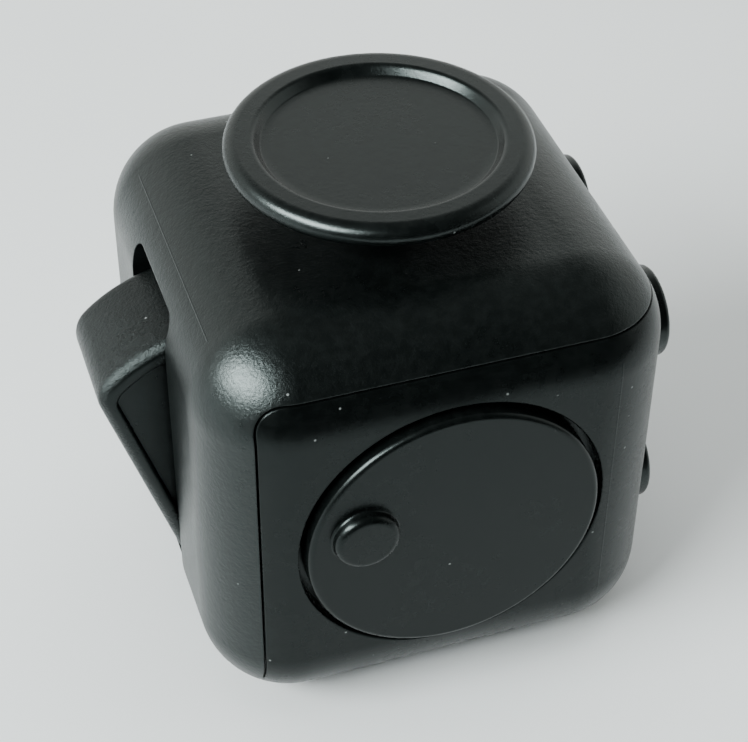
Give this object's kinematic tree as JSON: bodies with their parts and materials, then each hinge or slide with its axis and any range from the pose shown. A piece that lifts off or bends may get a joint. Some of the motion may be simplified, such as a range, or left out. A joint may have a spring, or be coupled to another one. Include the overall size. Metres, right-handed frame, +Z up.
{
  "type": "fidget cube",
  "caption": "Palm-sized rounded plastic cube with a different hand toy on each face: sliding disc, spinning dial, flip rocker, push buttons, toothed wheels with a ball, and a thumb dish.",
  "frame": {"origin": "on the resting plane, under the middle of the object's bounding box", "axes": "+Z up through the sliding disc; -Y out of the spinning dial; -X out of the flip rocker; +X out of the push buttons; +Y out of the toothed wheels; -Z out of the thumb dish"},
  "size_m": [0.0394, 0.0356, 0.0378],
  "materials": {
    "shell_plastic": "fine moulded grain, satin black",
    "glide_plastic": "satin black, smoother than the shells",
    "dial_plastic": "fine satin black",
    "rocker_plastic": "fine moulded grain, satin black",
    "button_plastic": "satin black",
    "wheel_plastic": "satin black",
    "inner_plastic": "as moulded, dark grey",
    "acetal": "as moulded, natural white",
    "hardware_steel": "zinc plated",
    "ball_steel": "polished",
    "spring_steel": "bright wire and sheet",
    "silicone": "matte"
  },
  "bodies": {
    "cube_body": {"upper_shell": "shell_plastic", "lower_shell": "shell_plastic", "glide_retainer": "inner_plastic", "glide_return_spring": "spring_steel", "dial_bush": "acetal", "rocker_pin": "hardware_steel", "rocker_cradle": "inner_plastic", "button_backplate": "inner_plastic", "gear_axle": "hardware_steel", "roll_bracket": "inner_plastic", "ball_spring": "spring_steel", "button_dome_1": "spring_steel", "button_dome_2": "silicone", "button_dome_3": "spring_steel", "button_dome_4": "silicone", "button_dome_5": "spring_steel", "glide_retainer_screw_1": "hardware_steel", "glide_retainer_screw_2": "hardware_steel", "glide_retainer_screw_3": "hardware_steel", "glide_retainer_screw_4": "hardware_steel", "rocker_cradle_screw_1": "hardware_steel", "rocker_cradle_screw_2": "hardware_steel", "button_backplate_screw_1": "hardware_steel", "button_backplate_screw_2": "hardware_steel", "button_backplate_screw_3": "hardware_steel", "button_backplate_screw_4": "hardware_steel", "roll_bracket_screw_1": "hardware_steel", "roll_bracket_screw_2": "hardware_steel", "roll_bracket_screw_3": "hardware_steel", "roll_bracket_screw_4": "hardware_steel"},
    "glide_carriage": {"glide_cross_slide": "acetal"},
    "glide_disc": {"glide_cap": "glide_plastic", "glide_slide_plate": "inner_plastic", "glide_screw": "hardware_steel"},
    "dial": {"spin_dial": "dial_plastic", "dial_retaining_washer": "hardware_steel", "dial_screw": "hardware_steel"},
    "rocker": {"flip_rocker": "rocker_plastic", "rocker_detent_spring": "spring_steel"},
    "plunger": {"rocker_detent_plunger": "acetal"},
    "ball_carrier": {"ball_cup": "acetal"},
    "ball": {"steel_ball": "ball_steel"},
    "button_body_1": {"button_1": "button_plastic"},
    "button_body_2": {"button_2": "button_plastic"},
    "button_body_3": {"button_3": "button_plastic"},
    "button_body_4": {"button_4": "button_plastic"},
    "button_body_5": {"button_5": "button_plastic"},
    "gear_1": {"gear_wheel_1": "wheel_plastic"},
    "gear_2": {"gear_wheel_2": "wheel_plastic"},
    "gear_3": {"gear_wheel_3": "wheel_plastic"}
  },
  "joints": [
    {"name": "glide_x", "type": "slide", "parent": "cube_body", "child": "glide_carriage", "axis": [1, 0, 0], "range_m": [-0.002, 0.002], "stiffness_N_per_m": 300, "deforming": ["glide_return_spring"]},
    {"name": "glide_y", "type": "slide", "parent": "glide_carriage", "child": "glide_disc", "axis": [0, 1, 0], "range_m": [-0.002, 0.002], "stiffness_N_per_m": 300, "deforming": ["glide_return_spring"]},
    {"name": "dial_spin", "type": "hinge", "parent": "cube_body", "child": "dial", "pos_m": [0.00147, -0.0153, 0.0165], "axis": [0, -1, 0], "continuous": true},
    {"name": "rocker_flip", "type": "hinge", "parent": "cube_body", "child": "rocker", "pos_m": [-0.01143, 0.0002, 0.0165], "axis": [0, 1, 0], "range_deg": [0, 34.6]},
    {"name": "plunger_press", "type": "slide", "parent": "rocker", "child": "plunger", "axis": [-0.9548, 0, -0.2974], "range_m": [0, 0.0005], "stiffness_N_per_m": 400, "deforming": ["rocker_detent_spring"]},
    {"name": "button_1_press", "type": "slide", "parent": "cube_body", "child": "button_body_1", "axis": [-1, 0, 0], "range_m": [0, 0.001], "stiffness_N_per_m": 1200, "deforming": ["button_dome_1"]},
    {"name": "button_2_press", "type": "slide", "parent": "cube_body", "child": "button_body_2", "axis": [-1, 0, 0], "range_m": [0, 0.001], "stiffness_N_per_m": 1200, "deforming": ["button_dome_2"]},
    {"name": "button_3_press", "type": "slide", "parent": "cube_body", "child": "button_body_3", "axis": [-1, 0, 0], "range_m": [0, 0.001], "stiffness_N_per_m": 1200, "deforming": ["button_dome_3"]},
    {"name": "button_4_press", "type": "slide", "parent": "cube_body", "child": "button_body_4", "axis": [-1, 0, 0], "range_m": [0, 0.001], "stiffness_N_per_m": 1200, "deforming": ["button_dome_4"]},
    {"name": "button_5_press", "type": "slide", "parent": "cube_body", "child": "button_body_5", "axis": [-1, 0, 0], "range_m": [0, 0.001], "stiffness_N_per_m": 1200, "deforming": ["button_dome_5"]},
    {"name": "gear_1_spin", "type": "hinge", "parent": "cube_body", "child": "gear_1", "pos_m": [-0.00293, 0.0123, 0.0205], "axis": [1, 0, 0], "continuous": true},
    {"name": "gear_2_spin", "type": "hinge", "parent": "cube_body", "child": "gear_2", "pos_m": [0.00147, 0.0123, 0.0205], "axis": [1, 0, 0], "continuous": true},
    {"name": "gear_3_spin", "type": "hinge", "parent": "cube_body", "child": "gear_3", "pos_m": [0.00587, 0.0123, 0.0205], "axis": [1, 0, 0], "continuous": true},
    {"name": "ball_press", "type": "slide", "parent": "cube_body", "child": "ball_carrier", "axis": [0, -1, 0], "range_m": [0, 0.001], "stiffness_N_per_m": 900, "deforming": ["ball_spring"]},
    {"name": "ball_roll", "type": "hinge", "parent": "ball_carrier", "child": "ball", "pos_m": [0.00147, 0.0138, 0.0089], "axis": [1, 0, 0], "continuous": true}
  ]
}
